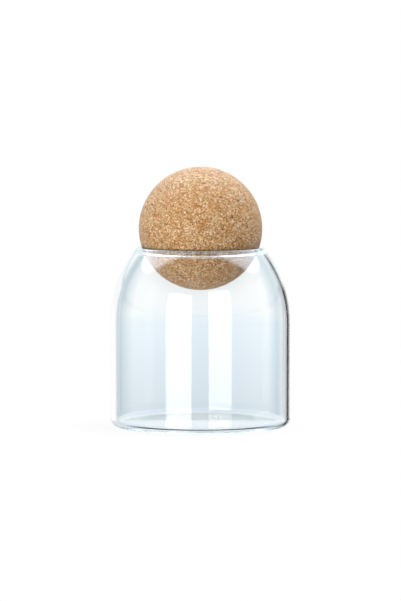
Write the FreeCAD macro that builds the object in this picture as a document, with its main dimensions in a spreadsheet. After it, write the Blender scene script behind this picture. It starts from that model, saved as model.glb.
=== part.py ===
import FreeCAD, Part
import math
import os
import Sketcher

# Storage jar of blown glass with a cork ball as its lid.
# The jar stands on Z = 0 with its axis on the Z axis. All sizes are in millimetres.

doc = FreeCAD.newDocument("jar_with_cork_ball")

# Driving sizes
DRIVING_SIZES = [
    ("jar_diameter", 100.0, "outside of the straight wall"),
    ("jar_height", 99.3, "table to the top of the lip"),
    ("mouth_diameter", 64.6, "clear opening inside the lip"),
    ("wall_thickness", 3.1, "glass in the wall and the shoulder"),
    ("lip_swell", 0.6, "how much thicker the melted lip is than the wall"),
    ("lip_blend_radius", 4.0, "inside hollow between the lip and the shoulder"),
    ("shoulder_radius", 65.0, "outside curve from the wall to the lip"),
    ("base_thickness", 2.6, "table to the floor inside"),
    ("heel_radius", 3.5, "outside corner between the wall and the foot"),
    ("floor_corner_radius", 3.0, "inside corner between the wall and the floor"),
    ("foot_width", 6.0, "flat ring that the jar stands on"),
    ("push_up", 0.6, "hollow under the middle of the base"),
    ("ball_oversize", 3.8, "how much wider the cork ball is than the mouth"),
    ("seat_clearance", 0.2, "gap between the ball and the lip"),
]

sizes = doc.addObject("Spreadsheet::Sheet", "sizes")
for row, (name, value, note) in enumerate(DRIVING_SIZES, start=1):
    sizes.set(f"A{row}", name)
    sizes.set(f"B{row}", str(value))
    sizes.set(f"C{row}", note)
    sizes.setAlias(f"B{row}", name)
doc.recompute()

# Sizes that follow from the sheet, as expressions for the sketches and placements
JAR_RADIUS = "sizes.jar_diameter / 2"
LIP_RADIUS = "(sizes.wall_thickness + sizes.lip_swell) / 2"
LIP_RING = f"sizes.mouth_diameter / 2 + {LIP_RADIUS}"
LIP_HEIGHT = f"sizes.jar_height - {LIP_RADIUS}"
BALL_RADIUS = "(sizes.mouth_diameter + sizes.ball_oversize) / 2"
BALL_REACH = f"{BALL_RADIUS} + {LIP_RADIUS} + sizes.seat_clearance"
BALL_HEIGHT = f"{LIP_HEIGHT} + sqrt(({BALL_REACH})^2 - ({LIP_RING})^2)"


def value_of(expression):
    return float(sizes.evalExpression(expression))


# Points of a sketch's curves, and of the sketch itself
def start(curve):
    return curve, 1


def end(curve):
    return curve, 2


def centre(curve):
    return curve, 3


def origin():
    return -1, 1


class HalfSection:
    """Half section of a turned piece, drawn in the XZ plane: radius across, height up."""

    def __init__(self, body, name):
        plane = next(p for p in body.Origin.OriginFeatures if p.Role == "XZ_Plane")
        self.body = body
        self.sketch = body.newObject("Sketcher::SketchObject", name)
        self.sketch.AttachmentSupport = (plane, "")
        self.sketch.MapMode = "FlatFace"

    def line(self, first, last):
        segment = Part.LineSegment(FreeCAD.Vector(*first, 0), FreeCAD.Vector(*last, 0))
        return self.sketch.addGeometry(segment, False)

    def arc(self, middle, radius, first_angle, last_angle):
        """Add an arc that runs anticlockwise from the first angle to the last."""
        circle = Part.Circle(FreeCAD.Vector(*middle, 0), FreeCAD.Vector(0, 0, 1), radius)
        return self.sketch.addGeometry(Part.ArcOfCircle(circle, first_angle, last_angle), False)

    def tie(self, kind, *references):
        self.sketch.addConstraint(Sketcher.Constraint(kind, *references))

    def on_foot_plane(self, point):
        horizontal_axis = -1
        self.tie("PointOnObject", *point, horizontal_axis)

    def on_turning_axis(self, point):
        vertical_axis = -2
        self.tie("PointOnObject", *point, vertical_axis)

    def measure(self, name, expression, kind, *references):
        """Add a dimension that follows the sheet."""
        dimension = Sketcher.Constraint(kind, *references, value_of(expression))
        index = self.sketch.addConstraint(dimension)
        self.sketch.renameConstraint(index, name)
        self.sketch.setExpression(f"Constraints.{name}", expression)

    def turn(self, name):
        """Turn the section once round its vertical axis."""
        revolution = self.body.newObject("PartDesign::Revolution", name)
        revolution.Profile = self.sketch
        revolution.ReferenceAxis = (self.sketch, ["V_Axis"])
        revolution.Angle = 360.0


# Glass jar: one closed wall section, turned once. It runs from the middle of the foot up the outside,
# over the thick round lip and down the inside to the middle of the floor.
quarter_turn = math.pi / 2
jar_radius = value_of(JAR_RADIUS)
lip_radius = value_of(LIP_RADIUS)
lip_ring = value_of(LIP_RING)
lip_height = value_of(LIP_HEIGHT)
inner_radius = jar_radius - sizes.wall_thickness
inner_shoulder_radius = sizes.shoulder_radius - sizes.wall_thickness
shoulder_axis = jar_radius - sizes.shoulder_radius
lip_distance = sizes.shoulder_radius - lip_radius
lip_angle = math.acos((lip_ring - shoulder_axis) / lip_distance)
wall_top = lip_height - lip_distance * math.sin(lip_angle)
foot_outer = jar_radius - sizes.heel_radius
foot_inner = foot_outer - sizes.foot_width
push_up_radius = (foot_inner**2 + sizes.push_up**2) / (2 * sizes.push_up)
push_up_angle = math.asin(foot_inner / push_up_radius)
corner_ring = inner_radius - sizes.floor_corner_radius
corner_height = sizes.base_thickness + sizes.floor_corner_radius

# The blend's centre lies in the mouth, at known distances from the centres of the shoulder and of the lip
blend_distance = inner_shoulder_radius - sizes.lip_blend_radius
blend_to_lip = lip_radius + sizes.lip_blend_radius
blend_cosine = (blend_distance**2 + lip_distance**2 - blend_to_lip**2) / (2 * blend_distance * lip_distance)
blend_angle = lip_angle - math.acos(blend_cosine)
blend_ring = shoulder_axis + blend_distance * math.cos(blend_angle)
blend_height = wall_top + blend_distance * math.sin(blend_angle)
blend_end_angle = math.atan2(lip_height - blend_height, lip_ring - blend_ring)

jar = doc.addObject("PartDesign::Body", "glass_jar")
jar.Label = "glass_jar"
wall = HalfSection(jar, "jar_section")
push_up_arc = wall.arc(
    (0, sizes.push_up - push_up_radius), push_up_radius, quarter_turn - push_up_angle, quarter_turn
)
foot_line = wall.line((foot_inner, 0), (foot_outer, 0))
heel_arc = wall.arc((foot_outer, sizes.heel_radius), sizes.heel_radius, -quarter_turn, 0)
wall_line = wall.line((jar_radius, sizes.heel_radius), (jar_radius, wall_top))
shoulder_arc = wall.arc((shoulder_axis, wall_top), sizes.shoulder_radius, 0, lip_angle)
lip_arc = wall.arc((lip_ring, lip_height), lip_radius, lip_angle, blend_end_angle + 2 * quarter_turn)
blend_arc = wall.arc((blend_ring, blend_height), sizes.lip_blend_radius, blend_angle, blend_end_angle)
inner_shoulder_arc = wall.arc((shoulder_axis, wall_top), inner_shoulder_radius, 0, blend_angle)
inner_wall_line = wall.line((inner_radius, wall_top), (inner_radius, corner_height))
corner_arc = wall.arc((corner_ring, corner_height), sizes.floor_corner_radius, -quarter_turn, 0)
floor_line = wall.line((corner_ring, sizes.base_thickness), (0, sizes.base_thickness))
axis_line = wall.line((0, sizes.base_thickness), (0, sizes.push_up))

wall.tie("Tangent", *end(foot_line), *start(heel_arc))
wall.tie("Tangent", *end(heel_arc), *start(wall_line))
wall.tie("Tangent", *end(wall_line), *start(shoulder_arc))
wall.tie("Tangent", *end(shoulder_arc), *start(lip_arc))
wall.tie("Tangent", *end(lip_arc), *end(blend_arc))
wall.tie("Tangent", *start(blend_arc), *end(inner_shoulder_arc))
wall.tie("Tangent", *start(inner_shoulder_arc), *start(inner_wall_line))
wall.tie("Tangent", *end(inner_wall_line), *end(corner_arc))
wall.tie("Tangent", *start(corner_arc), *start(floor_line))
wall.tie("Coincident", *centre(shoulder_arc), *centre(inner_shoulder_arc))
wall.tie("Coincident", *start(push_up_arc), *start(foot_line))
wall.tie("Coincident", *end(floor_line), *start(axis_line))
wall.tie("Coincident", *end(axis_line), *end(push_up_arc))
wall.tie("Horizontal", foot_line)
wall.tie("Horizontal", floor_line)
wall.tie("Vertical", wall_line)
wall.tie("Vertical", inner_wall_line)
wall.tie("Vertical", axis_line)
wall.on_foot_plane(start(foot_line))
wall.on_turning_axis(end(floor_line))
wall.on_turning_axis(centre(push_up_arc))

wall.measure("outer_radius", JAR_RADIUS, "DistanceX", *origin(), *start(wall_line))
wall.measure("wall", "sizes.wall_thickness", "DistanceX", *end(inner_wall_line), *start(wall_line))
wall.measure("shoulder", "sizes.shoulder_radius", "Radius", shoulder_arc)
wall.measure("lip_ring", LIP_RING, "DistanceX", *origin(), *centre(lip_arc))
wall.measure("lip_height", LIP_HEIGHT, "DistanceY", *origin(), *centre(lip_arc))
wall.measure("lip", LIP_RADIUS, "Radius", lip_arc)
wall.measure("lip_blend", "sizes.lip_blend_radius", "Radius", blend_arc)
wall.measure("heel", "sizes.heel_radius", "Radius", heel_arc)
wall.measure("floor_corner", "sizes.floor_corner_radius", "Radius", corner_arc)
wall.measure("floor", "sizes.base_thickness", "DistanceY", *origin(), *end(floor_line))
wall.measure("push_up", "sizes.push_up", "DistanceY", *origin(), *end(push_up_arc))
wall.measure("foot", "sizes.foot_width", "DistanceX", *start(foot_line), *end(foot_line))
wall.turn("jar_turned")

# Cork ball: one solid ball of pressed cork granules, turned round. It rests on the lip by its own weight,
# so its height follows from the ring of the lip and the two radii that meet there.
ball_radius = value_of(BALL_RADIUS)

ball = doc.addObject("PartDesign::Body", "cork_ball")
ball.Label = "cork_ball"
half_disc = HalfSection(ball, "ball_section")
outline_arc = half_disc.arc((0, 0), ball_radius, -quarter_turn, quarter_turn)
core_line = half_disc.line((0, ball_radius), (0, -ball_radius))
half_disc.tie("Coincident", *end(outline_arc), *start(core_line))
half_disc.tie("Coincident", *start(outline_arc), *end(core_line))
half_disc.tie("Coincident", *centre(outline_arc), *origin())
half_disc.on_turning_axis(start(core_line))
half_disc.on_turning_axis(end(core_line))
half_disc.measure("ball", BALL_RADIUS, "Radius", outline_arc)
half_disc.turn("ball_turned")
ball.setExpression("Placement.Base.z", BALL_HEIGHT)
doc.recompute()

# Check every object, then write each piece to its own file
for item in doc.Objects:
    if "Invalid" in item.State or "Error" in item.State:
        raise RuntimeError(f"{item.Label} did not build: {item.State}")
for section in (wall, half_disc):
    if not section.sketch.FullyConstrained:
        raise RuntimeError(f"{section.sketch.Label} is not fully constrained")
os.makedirs("parts", exist_ok=True)
for body in (jar, ball):
    if body.Shape.isNull() or not body.Shape.isValid():
        raise RuntimeError(f"{body.Label} has no valid solid")
    body.Shape.exportStep(f"parts/{body.Label}.step")
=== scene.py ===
import math

import bmesh
import bpy
from mathutils import Matrix, Vector, noise


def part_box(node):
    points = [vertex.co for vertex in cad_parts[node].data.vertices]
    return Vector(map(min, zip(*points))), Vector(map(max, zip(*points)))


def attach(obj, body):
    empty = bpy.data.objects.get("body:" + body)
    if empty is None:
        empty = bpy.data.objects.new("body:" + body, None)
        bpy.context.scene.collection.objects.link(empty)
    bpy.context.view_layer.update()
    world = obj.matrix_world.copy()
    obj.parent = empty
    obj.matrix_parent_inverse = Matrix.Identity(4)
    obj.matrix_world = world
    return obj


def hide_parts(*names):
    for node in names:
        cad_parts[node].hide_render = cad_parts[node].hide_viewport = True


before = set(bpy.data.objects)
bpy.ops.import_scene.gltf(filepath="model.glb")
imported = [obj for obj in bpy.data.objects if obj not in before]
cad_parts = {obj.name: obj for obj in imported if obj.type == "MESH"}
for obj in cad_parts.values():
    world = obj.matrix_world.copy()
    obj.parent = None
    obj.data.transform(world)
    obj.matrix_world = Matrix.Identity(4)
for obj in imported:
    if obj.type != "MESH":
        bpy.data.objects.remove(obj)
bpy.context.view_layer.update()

# Glass jar
# One vessel of clear borosilicate glass, blown from a drawn tube: flat foot, straight wall and a shoulder
# that curves in to a wide mouth. The cut edge is fire polished, so that it melts back into a thick lip.
jar_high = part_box("glass_jar")[1]
jar_radius = jar_high.x
jar_height = jar_high.z
mouth_radius = 0.0323
wall_thickness = 0.0031
lip_radius = 0.00185
lip_blend_radius = 0.004
shoulder_radius = 0.065
base_thickness = 0.0026
heel_radius = 0.0042
floor_corner_radius = 0.0016
foot_width = 0.006
push_up = 0.0006
turning_steps = 288
push_up_steps = 8
corner_steps = 14
shoulder_steps = 48
inner_shoulder_steps = 36
lip_steps = 32
blend_steps = 12
merge_distance = 1e-7
quarter_turn = math.pi / 2
half_turn = math.pi
full_turn = 2 * math.pi

# Centres and angles of the arcs that the section runs through
foot_outer = jar_radius - heel_radius
foot_inner = foot_outer - foot_width
push_up_radius = (foot_inner**2 + push_up**2) / (2 * push_up)
push_up_angle = math.asin(foot_inner / push_up_radius)
inner_radius = jar_radius - wall_thickness
corner_ring = inner_radius - floor_corner_radius
corner_height = base_thickness + floor_corner_radius
lip_ring = mouth_radius + lip_radius
lip_height = jar_height - lip_radius
shoulder_ring = jar_radius - shoulder_radius
lip_distance = shoulder_radius - lip_radius
lip_angle = math.acos((lip_ring - shoulder_ring) / lip_distance)
wall_top = lip_height - lip_distance * math.sin(lip_angle)
blend_distance = shoulder_radius - wall_thickness - lip_blend_radius
blend_to_lip = lip_radius + lip_blend_radius
blend_cosine = (blend_distance**2 + lip_distance**2 - blend_to_lip**2) / (2 * blend_distance * lip_distance)
blend_angle = lip_angle - math.acos(blend_cosine)
blend_ring = shoulder_ring + blend_distance * math.cos(blend_angle)
blend_height = wall_top + blend_distance * math.sin(blend_angle)
blend_end = math.atan2(lip_height - blend_height, lip_ring - blend_ring)


def line_to(section, tip, radius, height):
    """Draw a straight run from the section's tip and return the new tip."""
    end = bmesh.ops.create_vert(section, co=(radius, 0, height))["vert"][0]
    section.edges.new((tip, end))
    return end


def arc_to(section, tip, centre, turn, steps):
    """Swing the section's tip about a centre, anticlockwise from +X to +Z, and return the new tip."""
    spun = bmesh.ops.spin(
        section, geom=[tip], cent=(centre[0], 0, centre[1]), axis=(0, -1, 0), angle=turn, steps=steps
    )
    return next(item for item in spun["geom_last"] if isinstance(item, bmesh.types.BMVert))


vessel = bmesh.new()
tip = bmesh.ops.create_vert(vessel, co=(0, 0, push_up))["vert"][0]
tip = arc_to(vessel, tip, (0, push_up - push_up_radius), -push_up_angle, push_up_steps)
tip = line_to(vessel, tip, foot_outer, 0)
tip = arc_to(vessel, tip, (foot_outer, heel_radius), quarter_turn, corner_steps)
tip = line_to(vessel, tip, jar_radius, wall_top)
tip = arc_to(vessel, tip, (shoulder_ring, wall_top), lip_angle, shoulder_steps)
tip = arc_to(vessel, tip, (lip_ring, lip_height), blend_end + half_turn - lip_angle, lip_steps)
tip = arc_to(vessel, tip, (blend_ring, blend_height), blend_angle - blend_end, blend_steps)
tip = arc_to(vessel, tip, (shoulder_ring, wall_top), -blend_angle, inner_shoulder_steps)
tip = line_to(vessel, tip, inner_radius, corner_height)
tip = arc_to(vessel, tip, (corner_ring, corner_height), -quarter_turn, corner_steps)
line_to(vessel, tip, 0, base_thickness)
bmesh.ops.spin(
    vessel,
    geom=vessel.verts[:] + vessel.edges[:],
    cent=(0, 0, 0),
    axis=(0, 0, 1),
    angle=full_turn,
    steps=turning_steps,
    use_merge=True,
)
bmesh.ops.remove_doubles(vessel, verts=vessel.verts, dist=merge_distance)
bmesh.ops.recalc_face_normals(vessel, faces=vessel.faces)


def make_object(name, shape, material):
    """Turn a finished bmesh into a smooth object of the scene."""
    for face in shape.faces:
        face.smooth = True
    mesh = bpy.data.meshes.new(name)
    shape.to_mesh(mesh)
    shape.free()
    mesh.materials.append(material)
    made = bpy.data.objects.new(name, mesh)
    bpy.context.scene.collection.objects.link(made)
    return made


def linear(hex_colour):
    """sRGB hex colour as the linear colour of a socket."""
    shares = [int(hex_colour[i : i + 2], 16) / 255 for i in (1, 3, 5)]
    return (*[s / 12.92 if s <= 0.04045 else ((s + 0.055) / 1.055) ** 2.4 for s in shares], 1)


def empty_tree(owner):
    """Node tree of a material or world, with nothing in it."""
    owner.use_nodes = True
    owner.node_tree.nodes.clear()
    return owner.node_tree


def add_node(tree, kind, inputs=None, **settings):
    """Add a node with its settings. Each input is a value, or the socket or node that feeds it."""
    node = tree.nodes.new(kind)
    for name, value in settings.items():
        setattr(node, name, value)
    for name, value in (inputs or {}).items():
        if isinstance(value, bpy.types.Node):
            value = next(socket for socket in value.outputs if socket.enabled)
        if isinstance(value, bpy.types.NodeSocket):
            tree.links.new(value, node.inputs[name])
        else:
            node.inputs[name].default_value = value
    return node


# Borosilicate glass, melted smooth: clear in the wall, and faintly cyan where the light runs along it
glass_tint = "#91EEE9"
glass_tint_per_metre = 0.6
glass_ior = 1.47

glass = bpy.data.materials.new("borosilicate_glass")
tree = empty_tree(glass)
surface = add_node(
    tree,
    "ShaderNodeBsdfPrincipled",
    {"Base Color": (1, 1, 1, 1), "Roughness": 0.0, "IOR": glass_ior, "Transmission Weight": 1.0},
)
tint = add_node(
    tree, "ShaderNodeVolumeAbsorption", {"Color": linear(glass_tint), "Density": glass_tint_per_metre}
)
add_node(tree, "ShaderNodeOutputMaterial", {"Surface": surface, "Volume": tint})

jar = make_object("jar_vessel", vessel, glass)
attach(jar, "jar")
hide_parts("glass_jar")

# Cork ball
# A solid ball of agglomerated cork: granules of bark pressed with a binder, then turned and sanded. It rests
# loose in the mouth, on the lip. Sanding tears out a few granules, so that the surface is lightly pitted.
# The pits' dark colour is painted shade.
ball_low, ball_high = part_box("cork_ball")
ball_centre = (ball_low + ball_high) / 2
ball_radius = (ball_high.z - ball_low.z) / 2
ball_cuts = 119
granule_width = 0.0013
granule_relief = 0.00004
groove_share = 0.35
pit_spacing = 0.0055
pit_radius = 0.0008
pit_depth = 0.0003
pit_share = 0.5
pit_draw = 7.3
pit_edge = 2

ball = bmesh.new()
bmesh.ops.create_cube(ball, size=2)
bmesh.ops.subdivide_edges(ball, edges=ball.edges, cuts=ball_cuts, use_grid_fill=True)
pits = ball.verts.layers.float.new("pit")
for vert in ball.verts:
    # The tangent spreads the grid's squares evenly over the ball
    direction = Vector(math.tan(side * quarter_turn / 2) for side in vert.co).normalized()
    place = direction * ball_radius
    distances = noise.voronoi(place / granule_width)[0]
    groove = 1 - min(1, (distances[1] - distances[0]) / groove_share)
    pit_distances, pit_points = noise.voronoi(place / pit_spacing)
    # A cell of the pits' pattern draws a number from -1 to 1, which decides whether it has a pit
    has_pit = noise.cell(pit_points[0] * pit_draw) < 2 * pit_share - 1
    pit = max(0, 1 - (pit_distances[0] * pit_spacing / pit_radius) ** 2) if has_pit else 0
    # The pit attribute marks where painted shade darkens the pits' colour
    vert[pits] = min(1, pit_edge * pit)
    vert.co = ball_centre + direction * (ball_radius - granule_relief * groove - pit_depth * pit)
bmesh.ops.recalc_face_normals(ball, faces=ball.faces)

# Agglomerated cork, sanded: tan granules of every shade from cream to bark brown, matt with a faint bloom
cork_shades = [
    (0.06, "#4E2A10"),
    (0.24, "#A17040"),
    (0.42, "#C2925B"),
    (0.60, "#D4A974"),
    (0.76, "#ECCFA5"),
    (0.94, "#FFF6E2"),
]
# Dark colour of the pits: painted shade in their hollows
pit_painted_shade = "#4A2A12"
patch_tint = "#F4DFC0"

# Chips show at their real size. The warp makes them ragged, specks are cork dust between them, and patches
# are darker bark.
chip_width = 0.00055
chip_relief = 0.0002
chip_bump = 0.6
speck_width = 0.0003
speck_share = 0.3
patch_width = 0.004
patch_low, patch_high = 0.4, 0.7
warp_width = 0.0014
warp_reach = 0.0002
noise_detail = 2.0


def set_stops(ramp, shades):
    """Give a new colour ramp its stops, each a place from 0 to 1 and a hex colour."""
    stops = ramp.color_ramp.elements
    for index, (share, colour) in enumerate(shades):
        stop = stops[index] if index < 2 else stops.new(share)
        stop.position = share
        stop.color = linear(colour)


cork = bpy.data.materials.new("agglomerated_cork")
tree = empty_tree(cork)
place = add_node(tree, "ShaderNodeTexCoord").outputs["Object"]
warp = add_node(
    tree, "ShaderNodeTexNoise", {"Vector": place, "Scale": 1 / warp_width, "Detail": noise_detail}
)
warp = add_node(
    tree,
    "ShaderNodeVectorMath",
    {0: warp.outputs["Color"], 1: (warp_reach,) * 3, 2: place},
    operation="MULTIPLY_ADD",
)
chips = add_node(tree, "ShaderNodeTexVoronoi", {"Vector": warp, "Scale": 1 / chip_width})
specks = add_node(tree, "ShaderNodeTexVoronoi", {"Vector": warp, "Scale": 1 / speck_width})
mingled = add_node(
    tree,
    "ShaderNodeMix",
    {0: speck_share, 6: chips.outputs["Color"], 7: specks.outputs["Color"]},
    data_type="RGBA",
)
shade = add_node(tree, "ShaderNodeSeparateColor", {0: mingled})
colour = add_node(tree, "ShaderNodeValToRGB", {0: shade})
set_stops(colour, cork_shades)
patch = add_node(
    tree, "ShaderNodeTexNoise", {"Vector": place, "Scale": 1 / patch_width, "Detail": noise_detail}
)
patch = add_node(tree, "ShaderNodeMapRange", {"Value": patch, "From Min": patch_low, "From Max": patch_high})
colour = add_node(
    tree,
    "ShaderNodeMix",
    {0: patch, 6: colour, 7: linear(patch_tint)},
    data_type="RGBA",
    blend_type="MULTIPLY",
)
# The pits are coloured dark: painted shade, over the real pitting of the surface
pit = add_node(tree, "ShaderNodeAttribute", attribute_name="pit").outputs["Fac"]
colour = add_node(tree, "ShaderNodeMix", {0: pit, 6: colour, 7: linear(pit_painted_shade)}, data_type="RGBA")
bump = add_node(
    tree,
    "ShaderNodeBump",
    {"Strength": chip_bump, "Distance": chip_relief, "Height": chips.outputs["Distance"]},
    invert=True,
)
surface = add_node(
    tree,
    "ShaderNodeBsdfPrincipled",
    {
        "Base Color": colour,
        "Roughness": 0.6,
        "IOR": 1.45,
        "Specular IOR Level": 0.6,
        "Sheen Weight": 0.2,
        "Sheen Roughness": 0.4,
        "Normal": bump,
    },
)
add_node(tree, "ShaderNodeOutputMaterial", {"Surface": surface})

lid = make_object("cork_lid", ball, cork)
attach(lid, "lid")
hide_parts("cork_ball")

# Table and backdrop
# A small round white table, whose rim fades into the white that the camera sees. Through the glass a cool
# backdrop shows far behind, darker to the ground and the sides. What the glass mirrors is paler, apart from
# the dark studio overhead in front and on the ground.
table_radius = 0.075
table_fade = 0.053
table_glow = 0.7
table_drop = 0.0001
table_sides = 96
table_white = "#F4F5F6"
table_middle = "#C8E3F2"
table_rim = "#D8E4F1"
backdrop_bottom = -0.1085
backdrop_top = -0.075
backdrop_shades = [(0.0, "#D4E1E9"), (0.35, "#DFECF5"), (0.6, "#E7F4FC"), (0.8, "#F4FCFF"), (1.0, "#FCFFFF")]
side_shades = [
    (0.0, "#F6F7F9"),
    (0.06, "#FFFFFF"),
    (0.09, "#FFFFFF"),
    (0.165, "#CFDDE4"),
    (0.26, "#CDDDE4"),
    (0.42, "#A9BEC7"),
    (0.6, "#FFFFFF"),
]
studio_dark = "#202020"
ceiling_low, ceiling_high = 0.35, 0.6
ceiling_back, ceiling_front = 0.25, -0.05
ceiling_side, ceiling_middle = 0.95, 0.7
ground_high, ground_low = -0.45, -0.75

# Higher up the backdrop is nearly white. The floor of the jar mirrors its grey band.
upper_low, upper_high = -0.05, 0.35
upper_shades = [
    (0.0, "#FFFFFF"),
    (0.15, "#F4FAFD"),
    (0.406, "#F8FDFF"),
    (0.425, "#C3D6DD"),
    (0.5, "#C3D6DD"),
    (0.53, "#F4FAFD"),
    (0.65, "#F4FAFD"),
    (0.85, "#FFFFFF"),
]

floor_high, floor_low = -0.13, -0.2
room_light_above = 0.6
room_light_below = 0.14
white = "#FFFFFF"

# Rays count whole bounces, so half of one parts none from one
half_bounce = 0.5


def light_path(tree):
    """Light Path's outputs, and whether a ray sees the background, met nothing matt and was mirrored."""
    path = add_node(tree, "ShaderNodeLightPath").outputs
    seeing = path["Is Camera Ray"]
    for name in ("Is Glossy Ray", "Is Transmission Ray"):
        seeing = add_node(tree, "ShaderNodeMath", {0: seeing, 1: path[name]}, operation="MAXIMUM")
    matt, glossy = path["Diffuse Depth"], path["Glossy Depth"]
    clean = add_node(tree, "ShaderNodeMath", {0: matt, 1: half_bounce}, operation="LESS_THAN")
    mirrored = add_node(tree, "ShaderNodeMath", {0: glossy, 1: half_bounce}, operation="GREATER_THAN")
    return path, seeing, clean, mirrored


world = bpy.data.worlds.new("studio")
bpy.context.scene.world = world
tree = empty_tree(world)
path, seeing, clean, mirrored = light_path(tree)
way = add_node(tree, "ShaderNodeTexCoord").outputs["Generated"]
way = add_node(tree, "ShaderNodeSeparateXYZ", {0: way}).outputs
lift = add_node(
    tree, "ShaderNodeMapRange", {"Value": way["Z"], "From Min": backdrop_bottom, "From Max": backdrop_top}
)
backdrop = add_node(tree, "ShaderNodeValToRGB", {0: lift})
set_stops(backdrop, backdrop_shades)
aside = add_node(tree, "ShaderNodeMath", {0: way["X"]}, operation="ABSOLUTE")
sides = add_node(tree, "ShaderNodeValToRGB", {0: aside})
set_stops(sides, side_shades)
above = add_node(
    tree, "ShaderNodeMapRange", {"Value": way["Z"], "From Min": floor_low, "From Max": floor_high}
)
backdrop = add_node(
    tree, "ShaderNodeMix", {0: above, 6: backdrop, 7: sides}, data_type="RGBA", blend_type="MULTIPLY"
)
overhead = add_node(
    tree, "ShaderNodeMapRange", {"Value": way["Z"], "From Min": ceiling_low, "From Max": ceiling_high}
)
ahead = add_node(
    tree, "ShaderNodeMapRange", {"Value": way["Y"], "From Min": ceiling_back, "From Max": ceiling_front}
)
inward = add_node(
    tree, "ShaderNodeMapRange", {"Value": aside, "From Min": ceiling_side, "From Max": ceiling_middle}
)
ceiling = add_node(tree, "ShaderNodeMath", {0: overhead, 1: ahead}, operation="MULTIPLY")
ceiling = add_node(tree, "ShaderNodeMath", {0: ceiling, 1: inward}, operation="MULTIPLY")
ground = add_node(
    tree, "ShaderNodeMapRange", {"Value": way["Z"], "From Min": ground_high, "From Max": ground_low}
)
bright = add_node(tree, "ShaderNodeMath", {0: mirrored, 1: above}, operation="MULTIPLY")
backdrop = add_node(tree, "ShaderNodeMix", {0: bright, 6: backdrop, 7: linear(white)}, data_type="RGBA")
lift = add_node(
    tree, "ShaderNodeMapRange", {"Value": way["Z"], "From Min": upper_low, "From Max": upper_high}
)
upper = add_node(tree, "ShaderNodeValToRGB", {0: lift})
set_stops(upper, upper_shades)
backdrop = add_node(
    tree, "ShaderNodeMix", {0: 1.0, 6: backdrop, 7: upper}, data_type="RGBA", blend_type="MULTIPLY"
)
dark = add_node(tree, "ShaderNodeMath", {0: ceiling, 1: ground}, operation="MAXIMUM")
once = add_node(
    tree, "ShaderNodeMath", {0: path["Glossy Depth"], 1: 1.0, 2: half_bounce}, operation="COMPARE"
)
dark = add_node(tree, "ShaderNodeMath", {0: dark, 1: once}, operation="MULTIPLY")
backdrop = add_node(tree, "ShaderNodeMix", {0: dark, 6: backdrop, 7: linear(studio_dark)}, data_type="RGBA")
backdrop = add_node(
    tree, "ShaderNodeMix", {0: path["Is Camera Ray"], 6: backdrop, 7: linear(white)}, data_type="RGBA"
)
seen = add_node(tree, "ShaderNodeBackground", {"Color": backdrop, "Strength": clean})
room_light = add_node(
    tree,
    "ShaderNodeMapRange",
    {"Value": way["Z"], "From Min": -1.0, "To Min": room_light_below, "To Max": room_light_above},
)
room = add_node(tree, "ShaderNodeBackground", {"Color": linear(white), "Strength": room_light})
light = add_node(tree, "ShaderNodeMixShader", {0: seeing, 1: room, 2: seen})
add_node(tree, "ShaderNodeOutputWorld", {"Surface": light})

# White lacquer, sprayed: an even matt white, in which only a soft shade shows where the jar stands
lacquer = bpy.data.materials.new("white_lacquer")
tree = empty_tree(lacquer)
path, seeing, clean, mirrored = light_path(tree)
place = add_node(tree, "ShaderNodeTexCoord").outputs["Object"]
reach = add_node(tree, "ShaderNodeVectorMath", {0: place}, operation="LENGTH").outputs["Value"]
fade = add_node(
    tree, "ShaderNodeMapRange", {"Value": reach, "From Min": table_fade, "From Max": table_radius}
)
glow = add_node(tree, "ShaderNodeMapRange", {"Value": fade, "To Min": table_glow})
glow = add_node(tree, "ShaderNodeMath", {0: glow, 1: seeing}, operation="MULTIPLY")
board = add_node(tree, "ShaderNodeBsdfDiffuse", {"Color": linear(table_white)})
shine = add_node(
    tree, "ShaderNodeMix", {0: fade, 6: linear(table_middle), 7: linear(table_rim)}, data_type="RGBA"
)
shine = add_node(
    tree, "ShaderNodeMix", {0: path["Is Camera Ray"], 6: shine, 7: linear(white)}, data_type="RGBA"
)
shine = add_node(tree, "ShaderNodeEmission", {"Color": shine, "Strength": clean})
table_top = add_node(tree, "ShaderNodeMixShader", {0: glow, 1: board, 2: shine})
nothing = add_node(tree, "ShaderNodeBsdfTransparent")
table_top = add_node(tree, "ShaderNodeMixShader", {0: mirrored, 1: table_top, 2: nothing})
add_node(tree, "ShaderNodeOutputMaterial", {"Surface": table_top})

table = bmesh.new()
bmesh.ops.create_circle(table, cap_ends=True, radius=table_radius, segments=table_sides)
bmesh.ops.translate(table, verts=table.verts, vec=(0, 0, -table_drop))
table = make_object("table", table, lacquer)
table.visible_glossy = False

# Light reaches the cork and the table straight through the clear glass
jar.visible_shadow = False
jar.visible_diffuse = False

# Lamps and cards
# A softbox at the front left, which the glass shows as tall white stripes, a wide panel overhead, which it
# shows round the neck, and a lamp behind on the right for the ball's rim. Upright cards behind the jar draw
# the edges of its wall, dark on the right and pale on the left.
softbox_azimuth = math.radians(28)
softbox_distance = 1.0
softbox_size = (0.59, 1.1)
softbox_light = 3.3
softbox_shine = 5.0
panel_place = Vector((0, 0.543, 1.1))
panel_size = (3.4, 1.746)
panel_light = 0.65
panel_shine = 4.8
panel_tint = "#E3F1FF"
panel_depth = 3
rim_place = Vector((0.75, 0.15, 0.8))
rim_size = (0.4, 0.8)
rim_light = 3.2
round_sides = 96
any_depth = 100
card_distance = 1.6
card_tint = "#E4F0F6"

# Each card has its side of the jar, the angles in degrees between which the wall's edge sees it, its bottom
# and top in metres, its brightness, and whether gloss and glass show it
edge_cards = [
    ("black_card", 1, 16.5, 27.5, -1.2, 0.12, 0.0, True, True),
    ("black_tip", 1, 22.5, 27.5, 0.12, 0.6, 0.0, True, True),
    ("black_wing", 1, 27.5, 36, -1.2, 0.6, 0.0, True, False),
    ("grey_card", 1, 27.5, 37, -1.2, 0.6, 0.65, False, True),
    ("pale_card", -1, 36, 50, -1.2, 1.2, 0.8, True, True),
]


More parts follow.
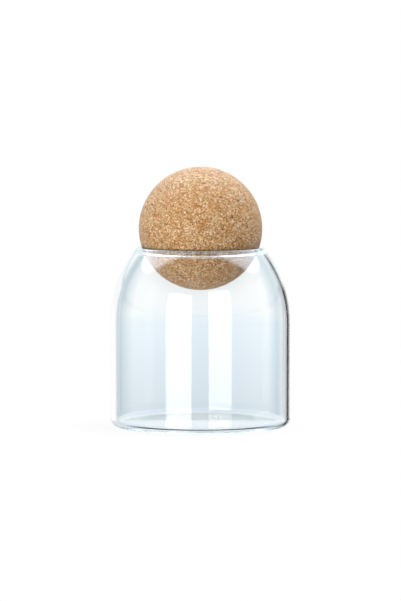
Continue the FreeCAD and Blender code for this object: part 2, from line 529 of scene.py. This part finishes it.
def add_card(name, place, target, size, shine, tint=white, is_round=False, depth=any_depth):
    """Add a flat card that only gloss and glass show, the glass through fewer surfaces than the depth."""
    glow = bpy.data.materials.new(name)
    tree = empty_tree(glow)
    path, seeing, clean, mirrored = light_path(tree)
    colour = [shine * share for share in linear(tint)]
    passed = path["Transmission Depth"]
    shown = add_node(tree, "ShaderNodeMath", {0: passed, 1: depth}, operation="LESS_THAN")
    if shine:
        shown = add_node(tree, "ShaderNodeMath", {0: shown, 1: mirrored}, operation="MULTIPLY")
    emission = add_node(tree, "ShaderNodeEmission", {"Color": colour, "Strength": clean})
    nothing = add_node(tree, "ShaderNodeBsdfTransparent")
    face = add_node(tree, "ShaderNodeMixShader", {0: shown, 1: nothing, 2: emission})
    add_node(tree, "ShaderNodeOutputMaterial", {"Surface": face})
    glow.cycles.emission_sampling = "NONE"
    card = bmesh.new()
    if is_round:
        bmesh.ops.create_circle(card, cap_ends=True, radius=0.5, segments=round_sides)
    else:
        bmesh.ops.create_grid(card, x_segments=1, y_segments=1, size=0.5)
    bmesh.ops.scale(card, vec=(size[0], size[1], 1), verts=card.verts)
    bmesh.ops.rotate(card, matrix=(target - place).to_track_quat("-Z", "Y").to_matrix(), verts=card.verts)
    bmesh.ops.translate(card, vec=place, verts=card.verts)
    card = make_object(name, card, glow)
    for unseen in ("visible_camera", "visible_diffuse", "visible_shadow"):
        setattr(card, unseen, False)
    return card


def add_lamp(name, place, target, size, light, shape="RECTANGLE"):
    """Add a lamp that lights matt surfaces. What glass and gloss show of it is a card in its place."""
    data = bpy.data.lights.new(name, "AREA")
    data.shape = shape
    data.size, data.size_y = size
    data.energy = light * math.pi * size[0] * size[1]
    lamp = bpy.data.objects.new(name, data)
    lamp.location = place
    lamp.rotation_euler = (target - place).to_track_quat("-Z", "Y").to_euler()
    for unseen in ("visible_camera", "visible_glossy", "visible_transmission"):
        setattr(lamp, unseen, False)
    bpy.context.scene.collection.objects.link(lamp)


middle = Vector((0, 0, jar_height / 2))
softbox_way = Vector((-math.sin(softbox_azimuth), -math.cos(softbox_azimuth), 0))
softbox_place = middle + softbox_way * softbox_distance
below = panel_place - Vector((0, 0, 1))
add_lamp("softbox", softbox_place, middle, softbox_size, softbox_light)
add_card("softbox_face", softbox_place, middle, softbox_size, softbox_shine)
add_lamp("panel", panel_place, below, panel_size, panel_light, "ELLIPSE")
add_card("panel_face", panel_place, below, panel_size, panel_shine, panel_tint, True, panel_depth)
add_lamp("rim_lamp", rim_place, middle, rim_size, rim_light)
for name, side, near, far, bottom, top, shine, in_gloss, through_glass in edge_cards:
    near_x, far_x = (jar_radius + card_distance * math.tan(math.radians(angle)) for angle in (near, far))
    place = Vector((side * (near_x + far_x) / 2, card_distance, (bottom + top) / 2))
    front = place - Vector((0, 1, 0))
    card = add_card(name, place, front, (far_x - near_x, top - bottom), shine, card_tint)
    card.visible_glossy = in_gloss
    card.visible_transmission = through_glass

# Shade in the lip
# Clear glass casts no shadow here, but a real lip turns light aside and shades the cork beside it. A black
# ring inside the lip does that instead, and only light meets it.
shade_radius = 0.0016
shade_lift = 0.0008
shade_sides = 12
shade_steps = 96

# Plain black, which stands in for the lip's shade: takes all the light that meets it
shade_black = bpy.data.materials.new("lip_shade_black")
tree = empty_tree(shade_black)
matt = add_node(tree, "ShaderNodeBsdfDiffuse", {"Color": (0, 0, 0, 1)})
add_node(tree, "ShaderNodeOutputMaterial", {"Surface": matt})
ring = bmesh.new()
bmesh.ops.create_circle(ring, radius=shade_radius, segments=shade_sides)
bmesh.ops.rotate(ring, matrix=Matrix.Rotation(quarter_turn, 3, "X"), verts=ring.verts)
bmesh.ops.translate(ring, vec=(lip_ring, 0, lip_height + shade_lift), verts=ring.verts)
bmesh.ops.spin(
    ring,
    geom=ring.verts[:] + ring.edges[:],
    axis=(0, 0, 1),
    angle=full_turn,
    steps=shade_steps,
    use_merge=True,
)
shade_ring = make_object("shade_ring", ring, shade_black)
for unseen in ("visible_camera", "visible_glossy", "visible_transmission"):
    setattr(shade_ring, unseen, False)

# Camera
# A long lens a little above the jar. It looks about 6.5 degrees down on the foot, so that the mouth and the
# floor show as flat ellipses.
camera_distance = 2.2
camera_height = 0.2487
camera_pitch = 0.08125
image_long_side = 601
focal_pixels = 3978.0

view = bpy.data.cameras.new("camera")
view.lens = view.sensor_width * focal_pixels / image_long_side
camera = bpy.data.objects.new("camera", view)
camera.location = (0, -camera_distance, camera_height)
camera.rotation_euler = (quarter_turn - camera_pitch, 0, 0)
bpy.context.scene.collection.objects.link(camera)
bpy.context.scene.camera = camera
bpy.context.scene.view_settings.view_transform = "Standard"

# Light runs a long way inside the lip, the heel and the base, so it is followed through many bounces
glass_bounces = 160
cycles = bpy.context.scene.cycles
cycles.max_bounces = glass_bounces
cycles.glossy_bounces = glass_bounces
cycles.transmission_bounces = glass_bounces
